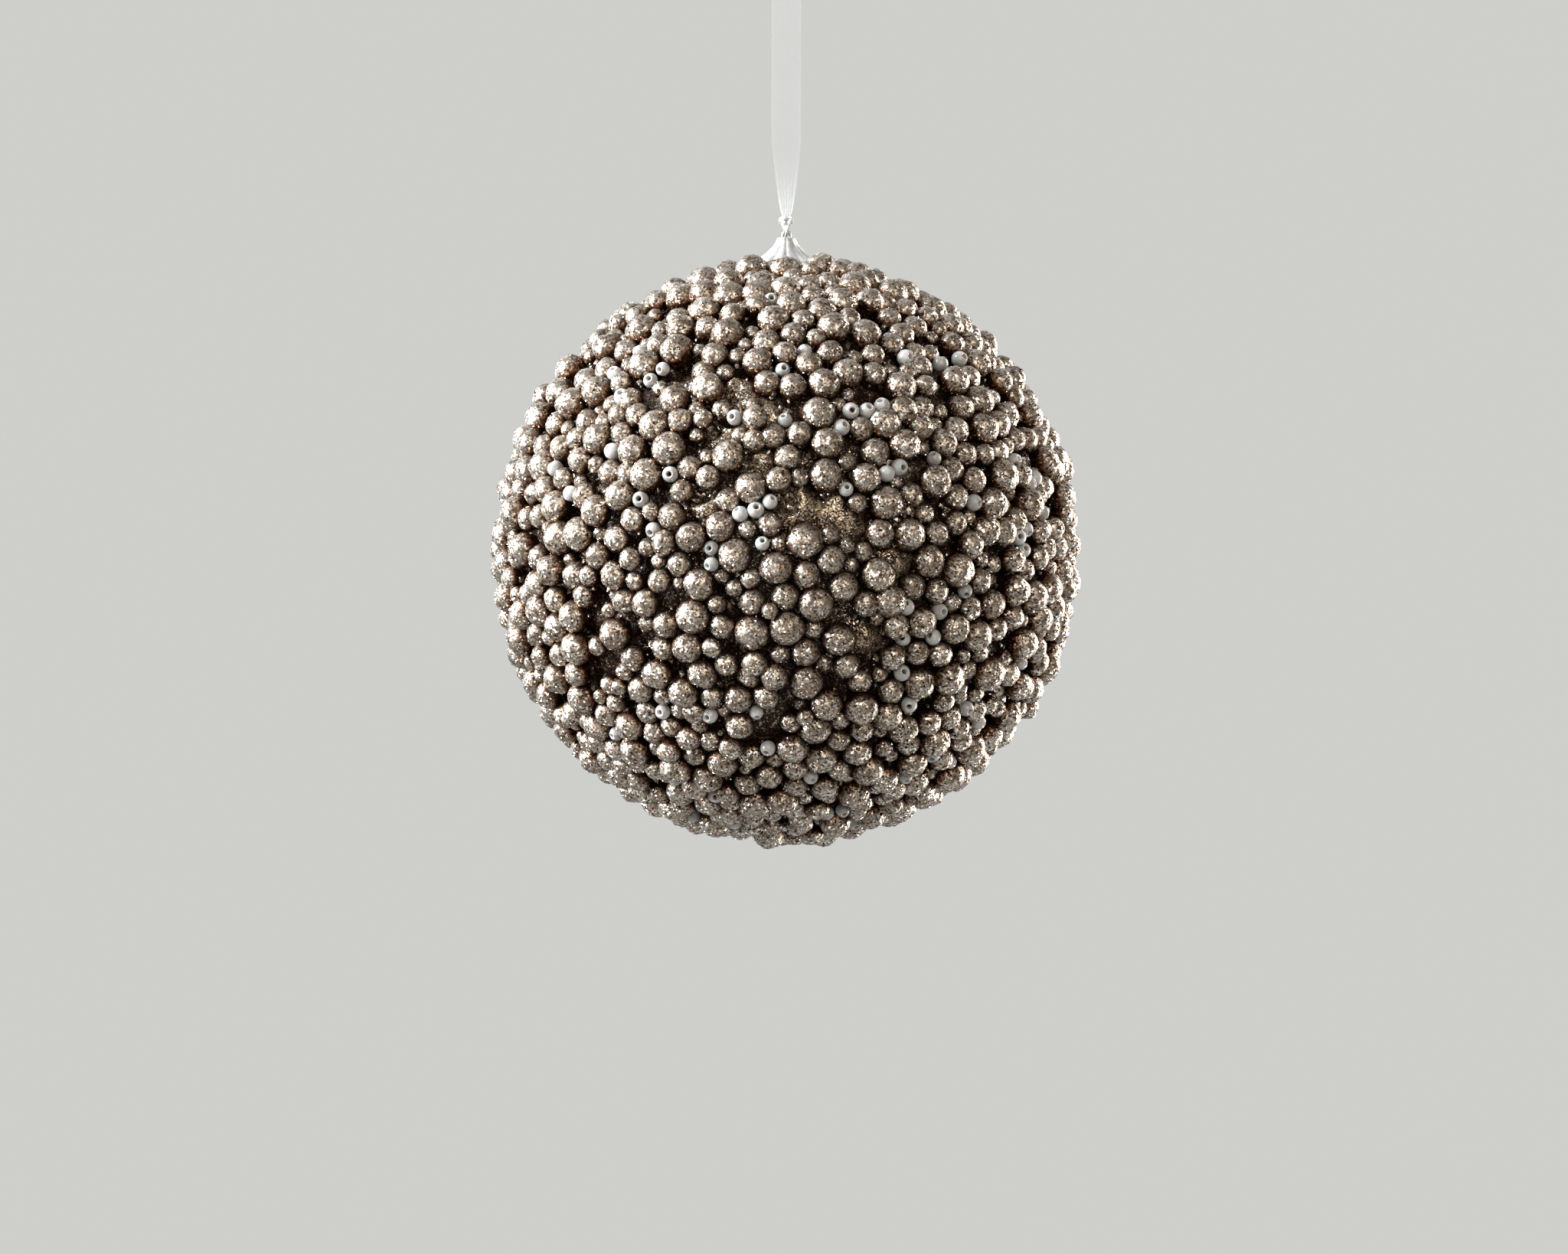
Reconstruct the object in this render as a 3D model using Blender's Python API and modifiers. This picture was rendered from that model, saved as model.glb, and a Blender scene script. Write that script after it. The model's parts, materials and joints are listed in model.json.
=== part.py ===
"""Beaded glass ball ornament, hanging on a ribbon loop. Metres, +Z up, front towards -Y.

The origin is the point under the top bend of the ribbon loop, where a hook or a twig carries it. The glass ball
has an open neck. A tinted glue coat covers it, and the beads are set in that. A fluted metal cap covers the
neck, and a spring wire clip holds the cap: its legs press in the neck, and its eye stands out of the cap. The
ribbon passes through the eye and is knotted above it.
"""

import math
import random

import bmesh
import bpy
from mathutils import Matrix, Vector

MM = 0.001

# Glass ball and its coat, as radii from the ball's centre.
GLASS_OUTER = 42.5 * MM
GLASS_WALL = 1.0 * MM
GLUE_INNER = 43.0 * MM
GLUE_OUTER = 43.9 * MM
COVER_INNER = 44.5 * MM
COVER_VALLEY = 46.3 * MM
SEED_POCKET = 45.4 * MM
BEAD_TIP = 50.8 * MM

# Glass neck.
NECK_OUTER = 5.0 * MM
NECK_WALL = 0.9 * MM
NECK_TOP = 48.9 * MM
NECK_CLEARANCE = 0.5 * MM

# Heights above the ball's centre.
CAP_TOP = 53.4 * MM
EYE_AXIS = 54.5 * MM
KNOT_CENTRE = 56.0 * MM
RIBBON_START = 57.2 * MM
HANG_HEIGHT = 98.0 * MM

# Fluted cap.
CAP_WALL = 0.35 * MM
CAP_HOLE = 1.15 * MM
CAP_TOP_RADIUS = 1.55 * MM
CAP_SKIRT_RADIUS = 6.1 * MM
CAP_SHOULDER = 48.9 * MM
CAP_RIM = 46.6 * MM
FLARE_STEPS = 5
FLARE_POWER = 0.8
FLUTES = 12
FLUTE_SIDES = 4
FLUTE_DEPTH = 0.05
FLUTE_RUN_IN = 2.0 * MM

# Spring wire clip: half of its wire, as (across, height above the ball's centre), from its foot to its eye.
CLIP_WIRE = 0.5 * MM
EYE_BEND = 0.65 * MM
CLIP_ELBOW = NECK_OUTER - NECK_WALL - 0.6 * MM
CLIP_LEG = (
    (2.9 * MM, 34.0 * MM),
    (2.4 * MM, 36.5 * MM),
    (2.7 * MM, 39.5 * MM),
    (CLIP_ELBOW, 43.5 * MM),
    (3.1 * MM, 46.5 * MM),
    (2.1 * MM, 49.4 * MM),
    (1.1 * MM, 51.4 * MM),
    (EYE_BEND, 52.8 * MM),
    (EYE_BEND, EYE_AXIS - EYE_BEND),
)

# Ribbon.
RIBBON_WIDTH = 5.0 * MM
RIBBON_THICKNESS = 0.3 * MM
RIBBON_FOOT_GAP = 0.55 * MM
LOOP_BEND = 3.5 * MM
STRAND_STEPS = 12
BEND_STEPS = 12
BIGHT_THICKNESS = 0.4 * MM
BIGHT_CLEARANCE = 0.2 * MM
BIGHT_SINK = 0.7
KNOT_HALF_SIZES = (1.25 * MM, 0.9 * MM, 0.8 * MM)

# Beads.
COLLAR_COUNT = 10
COLLAR_BEAD_RADIUS = 3.0 * MM
COLLAR_RING_RADIUS = 10.0 * MM
COLLAR_LIFTS = (0.0, 0.5, 0.1, 0.8, 0.2, 0.0, 0.6, 0.3, 0.9, 0.1)
COVER_OPENING = 13.6 * MM
COVER_BEADS = 600
COVER_JITTER = 0.16
COVER_LOWEST_TIP = 48.8 * MM
SEED_COUNT = 16
SEED_RING = 0.9 * MM
SEED_TUBE = 0.5 * MM
SEED_CENTRE = 47.2 * MM
SEED_SPACE = 3.9 * MM
SEED_FROM_OPENING = math.radians(7)
SEED_TILT = 0.5

ROUND_STEPS = 24
ARC_STEP = math.radians(15)
MERGE = 0.00001
RANDOM_SEED = 12

CENTRE = Vector((0, 0, -HANG_HEIGHT))


def above_centre(height):
    """The point on the ornament's axis at this height above the ball's centre."""
    return CENTRE + Vector((0, 0, height))


def clear_scene():
    for old in list(bpy.data.objects):
        bpy.data.objects.remove(old)
    for old in list(bpy.data.collections):
        bpy.data.collections.remove(old)


def new_collection(name):
    made = bpy.data.collections.new(name)
    bpy.context.scene.collection.children.link(made)
    return made


def new_material(name, colour, roughness, metallic=0.0, transmission=0.0):
    made = bpy.data.materials.new(name)
    made.use_nodes = True
    shader = made.node_tree.nodes["Principled BSDF"]
    shader.inputs["Base Color"].default_value = (*colour, 1.0)
    shader.inputs["Roughness"].default_value = roughness
    shader.inputs["Metallic"].default_value = metallic
    shader.inputs["Transmission Weight"].default_value = transmission
    made.diffuse_color = (*colour, 1.0)
    return made


def new_axis(name, collection, place, parent=None):
    """An empty on a joint's axis, at this place in the world."""
    axis = bpy.data.objects.new(name, None)
    collection.objects.link(axis)
    axis["world_place"] = list(place)
    axis.parent = parent
    axis.location = place - Vector(parent["world_place"]) if parent else place
    return axis


def new_piece(name, data, collection, material, parent, place, rotation=None):
    """An object with this mesh or curve, its origin at this place in the world."""
    piece = bpy.data.objects.new(name, data)
    collection.objects.link(piece)
    piece.parent = parent
    piece.location = place - Vector(parent["world_place"])
    if rotation is not None:
        piece.rotation_euler = rotation
    if not data.materials:
        data.materials.append(material)
    return piece


def mesh_from(shape, name, smooth=True):
    """A mesh from this bmesh, which is freed."""
    bmesh.ops.recalc_face_normals(shape, faces=shape.faces)
    mesh = bpy.data.meshes.new(name)
    shape.to_mesh(mesh)
    shape.free()
    if smooth:
        mesh.shade_smooth()
    return mesh


def turned(piece):
    """Adds the Screw that turns this piece's profile into a solid of revolution."""
    screw = piece.modifiers.new("Turn", "SCREW")
    screw.axis = "Z"
    screw.steps = ROUND_STEPS
    screw.render_steps = ROUND_STEPS
    screw.use_merge_vertices = True
    screw.merge_threshold = MERGE
    screw.use_smooth_shade = True


def profile_mesh(name, points):
    """An open line of edges through (radius, height) points, in the XZ plane."""
    mesh = bpy.data.meshes.new(name)
    corners = [(radius, 0, height) for radius, height in points]
    mesh.from_pydata(corners, [(i, i + 1) for i in range(len(corners) - 1)], [])
    return mesh


def arc_down(radius, start_radius):
    """Points of a sphere's outline, from where it is start_radius wide down to its bottom."""
    first = math.asin(start_radius / radius)
    rings = [i * ARC_STEP for i in range(1, round(math.pi / ARC_STEP) + 1)]
    angles = [first] + [angle for angle in rings if angle > first + ARC_STEP / 3]
    points = [(radius * math.sin(angle), radius * math.cos(angle)) for angle in angles]
    points[-1] = (0.0, -radius)
    return points


def make_glass_ball(collection, material, parent):
    """A blown globe with an open neck, one wall all round."""
    inner = arc_down(GLASS_OUTER - GLASS_WALL, NECK_OUTER - NECK_WALL)
    outer = arc_down(GLASS_OUTER, NECK_OUTER)
    rim = [(NECK_OUTER - NECK_WALL, NECK_TOP), (NECK_OUTER, NECK_TOP)]
    mesh = profile_mesh("glass_ball", inner[::-1] + rim + outer)
    turned(new_piece("glass_ball", mesh, collection, material, parent, CENTRE))


def make_glue_coat(collection, material, parent):
    """The tinted glue that holds the beads, open round the neck."""
    opening = NECK_OUTER + NECK_CLEARANCE
    mesh = profile_mesh(
        "glue_coat", arc_down(GLUE_INNER, opening)[::-1] + arc_down(GLUE_OUTER, opening)
    )
    turned(new_piece("glue_coat", mesh, collection, material, parent, CENTRE))


def spiral_directions(count):
    """Unit vectors spread evenly over the sphere, from the top down."""
    golden_angle = math.pi * (3 - math.sqrt(5))
    found = []
    for i in range(count):
        height = 1 - (2 * i + 1) / count
        width = math.sqrt(1 - height * height)
        turn = i * golden_angle
        found.append(Vector((width * math.cos(turn), width * math.sin(turn), height)))
    return found


def seed_directions():
    """Where the seed beads sit: an even spread over the sphere, clear of the collar."""
    opening_edge = math.asin(COVER_OPENING / SEED_CENTRE)
    highest = math.cos(opening_edge + SEED_FROM_OPENING)
    return [direction for direction in spiral_directions(SEED_COUNT) if direction.z < highest]


def jittered(direction, amount, draw):
    """The direction moved sideways by up to this share of a radian."""
    push = Vector([draw.uniform(-amount, amount) for _ in range(3)])
    return (direction + push).normalized()


def bead_tops(seeds, draw):
    """The highest point of each bead in the cover, and a low point under each seed bead."""
    spacing = math.sqrt(4 * math.pi / COVER_BEADS)
    nearest = math.cos(SEED_SPACE / SEED_CENTRE)
    tops = []
    for even in spiral_directions(COVER_BEADS):
        direction = jittered(even, COVER_JITTER * spacing, draw)
        height = draw.uniform(COVER_LOWEST_TIP, BEAD_TIP)
        if all(direction.dot(seed) < nearest for seed in seeds):
            tops.append(direction * height)
    return tops + [seed * SEED_POCKET for seed in seeds]


def bumpy_hull(tops):
    """A closed surface with one peak at each top and a valley between every three."""
    shape = bmesh.new()
    height_of = {}
    for top in tops:
        corner = shape.verts.new(top.normalized())
        height_of[corner] = top.length
    bmesh.ops.convex_hull(shape, input=shape.verts)
    bmesh.ops.recalc_face_normals(shape, faces=shape.faces)
    ridges = list(shape.edges)
    bmesh.ops.poke(shape, faces=list(shape.faces))
    bmesh.ops.rotate_edges(shape, edges=ridges, use_ccw=False)
    for corner in shape.verts:
        corner.co = corner.co.normalized() * height_of.get(corner, COVER_VALLEY)
    return mesh_from(shape, "bead_cover", smooth=False)


def new_cutter(name, shape, collection):
    """A hidden cutter from this bmesh, centred on the ball."""
    cutter = bpy.data.objects.new(name, mesh_from(shape, name, smooth=False))
    collection.objects.link(cutter)
    cutter.location = CENTRE
    cutter.hide_render = True
    cutter.display_type = "WIRE"
    return cutter


def cut(piece, cutter):
    boolean = piece.modifiers.new("Cut " + cutter.name, "BOOLEAN")
    boolean.operation = "DIFFERENCE"
    boolean.solver = "EXACT"
    boolean.object = cutter


def make_bead_cover(collection, cutters, material, parent, seeds, draw):
    """The layer of glittered beads, stuck to each other, hollow inside and open round the neck."""
    mesh = bumpy_hull(bead_tops(seeds, draw))
    cover = new_piece("bead_cover", mesh, collection, material, parent, CENTRE)
    hollow = bmesh.new()
    rings = round(math.pi / ARC_STEP)
    bmesh.ops.create_uvsphere(hollow, u_segments=ROUND_STEPS, v_segments=rings, radius=COVER_INNER)
    cut(cover, new_cutter("cover_hollow", hollow, cutters))
    opening = bmesh.new()
    bmesh.ops.create_cone(
        opening,
        cap_ends=True,
        segments=ROUND_STEPS,
        radius1=COVER_OPENING,
        radius2=COVER_OPENING,
        depth=BEAD_TIP,
        matrix=Matrix.Translation((0, 0, BEAD_TIP)),
    )
    cut(cover, new_cutter("cover_opening", opening, cutters))


def make_collar_beads(collection, material, parent):
    """The ring of large beads round the cap."""
    shape = bmesh.new()
    bmesh.ops.create_icosphere(shape, subdivisions=2, radius=COLLAR_BEAD_RADIUS)
    mesh = mesh_from(shape, "collar_bead")
    for i, lift in enumerate(COLLAR_LIFTS[:COLLAR_COUNT]):
        turn = 2 * math.pi * (i + 0.5) / COLLAR_COUNT
        reach = COVER_INNER + COLLAR_BEAD_RADIUS + lift * MM
        height = math.sqrt(reach**2 - COLLAR_RING_RADIUS**2)
        side = COLLAR_RING_RADIUS * Vector((math.cos(turn), math.sin(turn), 0))
        place = above_centre(height) + side
        new_piece(f"collar_bead_{i + 1:02d}", mesh, collection, material, parent, place)


def make_seed_beads(collection, material, parent, seeds, draw):
    """Drilled glass seed beads in the gaps, their holes facing various ways."""
    bpy.ops.mesh.primitive_torus_add(
        major_segments=10, minor_segments=6, major_radius=SEED_RING, minor_radius=SEED_TUBE
    )
    pattern = bpy.context.object
    mesh = pattern.data
    mesh.name = "seed_bead"
    mesh.shade_smooth()
    bpy.data.objects.remove(pattern)
    for i, direction in enumerate(seeds):
        facing = jittered(direction, SEED_TILT, draw)
        turn = facing.to_track_quat("Z", "Y").to_euler()
        place = CENTRE + direction * SEED_CENTRE
        new_piece(f"seed_bead_{i + 1:02d}", mesh, collection, material, parent, place, turn)


def cap_profile():
    """(radius, height) points of the cap: flat top, concave flare, shoulder and skirt."""
    points = [(CAP_HOLE, CAP_TOP), (CAP_TOP_RADIUS, CAP_TOP)]
    for i in range(1, FLARE_STEPS + 1):
        share = i / FLARE_STEPS
        radius = CAP_TOP_RADIUS + (CAP_SKIRT_RADIUS - CAP_TOP_RADIUS) * share
        height = CAP_TOP + (CAP_SHOULDER - CAP_TOP) * share**FLARE_POWER
        points.append((radius, height))
    points.append((CAP_SKIRT_RADIUS, (CAP_SHOULDER + CAP_RIM) / 2))
    points.append((CAP_SKIRT_RADIUS, CAP_RIM))
    return points


def make_cap(collection, material, parent):
    """A stamped cap: flutes run down its flare and skirt, and a hole in its top passes the clip."""
    shape = bmesh.new()
    corners = [shape.verts.new((radius, 0, height)) for radius, height in cap_profile()]
    edges = [shape.edges.new(pair) for pair in zip(corners, corners[1:])]
    bmesh.ops.spin(
        shape,
        geom=corners + edges,
        axis=(0, 0, 1),
        angle=2 * math.pi,
        steps=FLUTE_SIDES * FLUTES,
        use_merge=True,
    )
    for corner in shape.verts:
        radius = math.hypot(corner.co.x, corner.co.y)
        turn = math.atan2(corner.co.y, corner.co.x)
        flared = min(max((radius - CAP_TOP_RADIUS) / FLUTE_RUN_IN, 0), 1)
        stretch = 1 + FLUTE_DEPTH * flared * math.cos(FLUTES * turn)
        corner.co.x *= stretch
        corner.co.y *= stretch
    cap = new_piece(
        "fluted_cap", mesh_from(shape, "fluted_cap"), collection, material, parent, CENTRE
    )
    wall = cap.modifiers.new("Wall", "SOLIDIFY")
    wall.thickness = CAP_WALL
    wall.offset = 0


def smooth_line(points, steps):
    """Points along a Catmull-Rom curve through these, this many to a stretch."""
    points = [Vector(point) for point in points]
    held = [2 * points[0] - points[1]] + points + [2 * points[-1] - points[-2]]
    line = []
    for before, start, end, after in zip(held, held[1:], held[2:], held[3:]):
        for i in range(steps):
            t = i / steps
            along = (end - before) * t
            bend = (2 * before - 5 * start + 4 * end - after) * t**2
            curl = (3 * start - before - 3 * end + after) * t**3
            line.append(start + (along + bend + curl) / 2)
    return line + [points[-1]]


def wire_curve(name, line, thickness):
    """A round wire along this line, its ends closed."""
    curve = bpy.data.curves.new(name, "CURVE")
    curve.dimensions = "3D"
    curve.bevel_depth = thickness / 2
    curve.bevel_resolution = 2
    curve.use_fill_caps = True
    spline = curve.splines.new("POLY")
    spline.points.add(len(line) - 1)
    for point, place in zip(spline.points, line):
        point.co = (*place, 1)
    return curve


def half_circle(radius, steps):
    """(across, up) points of a half circle, from its right end over its top to its left end."""
    turns = [math.pi * i / steps for i in range(steps + 1)]
    return [(radius * math.cos(turn), radius * math.sin(turn)) for turn in turns]


def make_clip(collection, material, parent):
    """One spring wire: foot, leg, up through the cap, over the eye, and down again."""
    leg = [(across, 0, height) for across, height in CLIP_LEG]
    right = smooth_line(leg, 2)
    bend_centre = EYE_AXIS - EYE_BEND
    eye = [Vector((across, 0, bend_centre + up)) for across, up in half_circle(EYE_BEND, 8)]
    left = [Vector((-point.x, 0, point.z)) for point in reversed(right)]
    curve = wire_curve("spring_clip", right + eye[1:-1] + left, CLIP_WIRE)
    new_piece("spring_clip", curve, collection, material, parent, CENTRE)


def ribbon_line():
    """(back, up) points of the ribbon from the knot up, over the loop's top bend and down to the knot."""
    foot = (RIBBON_FOOT_GAP, RIBBON_START - HANG_HEIGHT)
    bend_radius = LOOP_BEND + RIBBON_THICKNESS / 2
    bend_centre = -LOOP_BEND
    spring = (bend_radius, bend_centre)
    strand = []
    for i in range(STRAND_STEPS):
        share = i / STRAND_STEPS
        back = foot[0] + (spring[0] - foot[0]) * share
        strand.append((back, foot[1] + (spring[1] - foot[1]) * share))
    bend = [(back, bend_centre + up) for back, up in half_circle(bend_radius, BEND_STEPS)]
    return strand + bend + [(-back, up) for back, up in reversed(strand)]


def make_ribbon_loop(collection, material, parent):
    """The ribbon, flat to the front, from the knot over its top bend and back to the knot."""
    line = [Vector((back, up, 0)) for back, up in ribbon_line()]
    curve = wire_curve("ribbon_loop", line, RIBBON_THICKNESS)
    curve.extrude = (RIBBON_WIDTH - RIBBON_THICKNESS) / 2
    quarter = math.pi / 2
    origin = Vector((0, 0, 0))
    new_piece("ribbon_loop", curve, collection, material, parent, origin, (quarter, 0, quarter))


def meshed(curve_object, collection, material, parent, place):
    """The curve's evaluated mesh with its caps joined on, as a piece that replaces the curve."""
    graph = bpy.context.evaluated_depsgraph_get()
    mesh = bpy.data.meshes.new_from_object(curve_object.evaluated_get(graph))
    name = curve_object.name
    bpy.data.objects.remove(curve_object)
    shape = bmesh.new()
    shape.from_mesh(mesh)
    bmesh.ops.remove_doubles(shape, verts=shape.verts, dist=MERGE)
    shape.to_mesh(mesh)
    shape.free()
    return new_piece(name, mesh, collection, material, parent, place)


def make_knot(collection, cutters, material, parent):
    """The knot, with the bight of ribbon that goes down round the clip's eye."""
    shape = bmesh.new()
    stretch = Matrix.Diagonal((*KNOT_HALF_SIZES, 1))
    bmesh.ops.create_uvsphere(shape, u_segments=16, v_segments=10, radius=1, matrix=stretch)
    place = above_centre(KNOT_CENTRE)
    knot = new_piece(
        "ribbon_knot", mesh_from(shape, "ribbon_knot"), collection, material, parent, place
    )
    bight_radius = CLIP_WIRE / 2 + BIGHT_CLEARANCE + BIGHT_THICKNESS / 2
    eye_drop = EYE_AXIS - KNOT_CENTRE
    bend = [Vector((0, back, eye_drop - up)) for back, up in half_circle(bight_radius, 8)]
    top = Vector((0, bight_radius * BIGHT_SINK, 0))
    line = [top] + bend + [Vector((0, -top.y, 0))]
    curve = wire_curve("knot_bight", line, BIGHT_THICKNESS)
    tube = new_piece("knot_bight", curve, cutters, material, parent, place)
    tube = meshed(tube, cutters, material, parent, place)
    tube.hide_render = True
    tube.display_type = "WIRE"
    join = knot.modifiers.new("Join bight", "BOOLEAN")
    join.operation = "UNION"
    join.solver = "EXACT"
    join.object = tube


def main():
    clear_scene()
    draw = random.Random(RANDOM_SEED)
    parts = new_collection("beaded_ball_ornament")
    cutters = new_collection("cutters")
    glass = new_material("clear_glass", (0.85, 0.87, 0.86), 0.05, transmission=1.0)
    glue = new_material("tinted_glue", (0.07, 0.045, 0.03), 0.55)
    glitter = new_material("glittered_beads", (0.32, 0.26, 0.21), 0.35, metallic=0.7)
    seed_glass = new_material("seed_glass", (0.85, 0.86, 0.86), 0.12, transmission=0.4)
    silver = new_material("silver_cap", (0.80, 0.80, 0.79), 0.25, metallic=1.0)
    spring_steel = new_material("spring_steel", (0.62, 0.62, 0.62), 0.3, metallic=1.0)
    organza = new_material("organza", (0.88, 0.88, 0.87), 0.6)

    held = new_axis("hang_point", parts, Vector((0, 0, 0)))
    twist = new_axis("twist_axis", parts, above_centre(RIBBON_START), held)
    swing = new_axis("swing_axis", parts, above_centre(EYE_AXIS), twist)
    pull = new_axis("pull_axis", parts, above_centre(NECK_TOP), swing)

    make_ribbon_loop(parts, organza, held)
    make_knot(parts, cutters, organza, twist)
    make_clip(parts, spring_steel, swing)
    make_cap(parts, silver, swing)
    make_glass_ball(parts, glass, pull)
    make_glue_coat(parts, glue, pull)
    seeds = seed_directions()
    make_bead_cover(parts, cutters, glitter, pull, seeds, draw)
    make_collar_beads(parts, glitter, pull)
    make_seed_beads(parts, seed_glass, pull, seeds, draw)


main()
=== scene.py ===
"""The looks of the beaded ball ornament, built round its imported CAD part. Metres, +Z up, front towards -Y."""

import json
import math

import bmesh
import bpy
import numpy as np
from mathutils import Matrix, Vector


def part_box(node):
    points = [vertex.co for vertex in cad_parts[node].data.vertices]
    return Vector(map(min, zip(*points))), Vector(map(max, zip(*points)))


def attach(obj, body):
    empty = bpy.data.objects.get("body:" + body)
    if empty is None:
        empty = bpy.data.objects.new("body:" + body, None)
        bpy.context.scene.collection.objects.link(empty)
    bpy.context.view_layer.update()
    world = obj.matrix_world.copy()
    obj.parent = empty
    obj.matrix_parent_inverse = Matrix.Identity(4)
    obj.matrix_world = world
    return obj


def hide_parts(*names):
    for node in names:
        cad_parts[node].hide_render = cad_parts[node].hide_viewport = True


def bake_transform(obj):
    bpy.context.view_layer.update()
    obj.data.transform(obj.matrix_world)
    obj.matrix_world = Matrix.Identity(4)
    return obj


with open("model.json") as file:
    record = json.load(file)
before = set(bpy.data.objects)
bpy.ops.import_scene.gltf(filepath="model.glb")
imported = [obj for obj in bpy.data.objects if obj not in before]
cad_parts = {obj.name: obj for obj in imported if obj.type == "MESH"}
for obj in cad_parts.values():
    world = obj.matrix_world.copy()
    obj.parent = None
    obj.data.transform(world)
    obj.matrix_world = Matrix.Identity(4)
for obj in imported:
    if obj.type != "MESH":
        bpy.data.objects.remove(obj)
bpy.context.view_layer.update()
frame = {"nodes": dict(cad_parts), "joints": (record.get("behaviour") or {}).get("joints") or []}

MM = 0.001

# Places read from the CAD part.
COAT_LOW, COAT_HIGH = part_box("glue_coat")
CAP_LOW, CAP_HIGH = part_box("fluted_cap")
CLIP_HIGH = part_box("spring_clip")[1]
KNOT_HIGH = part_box("ribbon_knot")[1]
COAT_RADIUS = COAT_HIGH.x
CENTRE_Z = COAT_LOW.z + COAT_RADIUS
CENTRE = np.array([0, 0, CENTRE_Z])
JOINT_PLACE = {joint["name"]: joint.get("pos_m") for joint in frame["joints"]}
TWIST_Z = JOINT_PLACE["ribbon_twist"][2]
EYE_Z = JOINT_PLACE["cap_swing"][2]

# Camera: level, facing +Y. The photograph is 267 mm wide at the ball.
VIEW_WIDTH = 267.3 * MM
CAMERA_DISTANCE = 1.0
CAMERA_DROP = 12.9 * MM
CAMERA_SIDE = -0.4 * MM
SENSOR = 36.0

# Light of the room: where it comes from most, and its colour from the dim side to the bright side.
BRIGHT_SIDE = (-0.72, 0.62, 0.31)
ROOM_LIGHT = ((0.15, (0.28, 0.235, 0.195)), (0.62, (0.36, 0.335, 0.31)), (0.95, (1.25, 1.32, 1.4)))
WALL_SEEN = (0.62, 0.62, 0.60)

# Area lights: name, place from the ball's centre, width and height, watts, colour.
AREA_LIGHTS = (
    ("window", (-0.92, -0.15, 0.42), (0.8, 0.9), 16, (0.88, 0.94, 1.0)),
    ("back_right", (0.85, 0.55, 0.05), (0.6, 1.2), 5.5, (1.0, 0.97, 0.92)),
    ("front_fill", (0.5, -1.6, 0.5), (1.4, 1.4), 4, (1.0, 0.97, 0.92)),
)
LIGHT_SPREAD = math.radians(75)
FLOOR_Z = -1.15
FLOOR_RADIUS = 4.95

# Glittered beads: share of the whole, smallest radius, largest radius, icosphere level, number of pieces.
BEAD_COUNT = 1400
BEAD_SIZES = {
    "beads_large": (0.27, 2.55 * MM, 2.95 * MM, 4, 3),
    "beads_medium": (0.43, 2.05 * MM, 2.45 * MM, 3, 4),
    "beads_small": (0.30, 1.25 * MM, 1.8 * MM, 3, 2),
}
# Distances from the ball's centre: the lowest point of a bead, and the highest that any may reach.
BEAD_FOOT = 44.7 * MM
HIGHEST_TIP = 51.2 * MM
# How far beads stand off that lowest point, most of them a little and a few of them well proud.
BEAD_LIFT = 0.5 * MM
PROUD_SHARE = 0.03
PROUD_LIFT = 1.1 * MM
# Smaller beads sit higher: this much for each millimetre that a radius is under the full one.
FULL_RADIUS = 2.9 * MM
SMALL_LIFT = 0.45 * MM
# Beads keep clear of the cap and the collar of beads round it.
CAP_REACH = 49 * MM
COLLAR_CLEARANCE = 6.9 * MM

# Drilled glass seed beads.
SEED_RADIUS = 1.4 * MM
SEED_HOLE = 0.42 * MM
SEED_END_ANGLE = math.radians(55)
SEED_SIDES = 20
SEED_SIZE = (0.84, 1.02)
SEED_TILT = 0.75
SEED_REACH = 48.0 * MM
SEED_FREEDOM = 0.3
BACK_SEEDS = 50
BACK_CLUSTERS = [1, 1, 1, 1, 2, 2, 3]
# Seed beads seen from the front: (across, up) from the ball's centre, in millimetres.
FRONT_SEEDS = (
    ((-23.5, 32.5), (-23, 27.5), (-29, 28), (-27.5, 24.5), (-31, 34.5), (-9, 20.5), (-28.5, 16), (-6, 8.5))
    + ((-8.5, 7), (-3.5, 7), (-24, 9), (-36, 8.5), (-2.5, 41), (-1.5, 1), (-38.5, 13), (-0.5, 20), (-12.5, 1))
    + ((-19.5, 13.5), (-21.5, 30), (0.5, 30), (20, 31.5), (28, 33), (26, 30), (32.5, 25), (9.5, 22.5))
    + ((13.5, 22.5), (16, 22.5), (7.5, 19), (18, 14), (16, 12), (25, 13.5), (7, 10.5), (39.5, 11), (41, 11.5))
    + ((31, 7.5), (40, 5), (42.5, 6.5), (38, 2), (16.5, 46), (15.5, 43), (-13.5, -27), (-5, -27.5))
    + ((-2.5, -33.5), (-17.5, -38.5), (-13, -40.5), (-16.5, -45), (-9, -45.5), (-28, -30.5), (-20, -27))
    + ((-12.5, -3), (3.5, -37.5), (18.5, -10.5), (24.5, -10.5), (28, -8), (18, -16), (20.5, -25.5))
    + ((30, -25.5), (32, -29.5), (24.5, -34), (27.5, -34.5), (20.5, -37), (7, -44), (10, -43.5), (15, -45))
    + ((12, -46.5), (1.5, -47), (16.5, -44.5), (39, -1), (39, -19.5), (23.5, -15))
)
RANDOM_SEED = 7

draw = np.random.default_rng(RANDOM_SEED)


# ---------------------------------------------------------------- camera, light, floor


def make_camera():
    """Level and straight ahead, with the photograph's width at the ball."""
    data = bpy.data.cameras.new("camera")
    data.sensor_width = SENSOR
    data.lens = SENSOR * CAMERA_DISTANCE / VIEW_WIDTH
    camera = bpy.data.objects.new("camera", data)
    bpy.context.scene.collection.objects.link(camera)
    camera.location = (CAMERA_SIDE, -CAMERA_DISTANCE, CENTRE_Z - CAMERA_DROP)
    camera.rotation_euler = (math.pi / 2, 0, 0)
    bpy.context.scene.camera = camera


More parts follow.
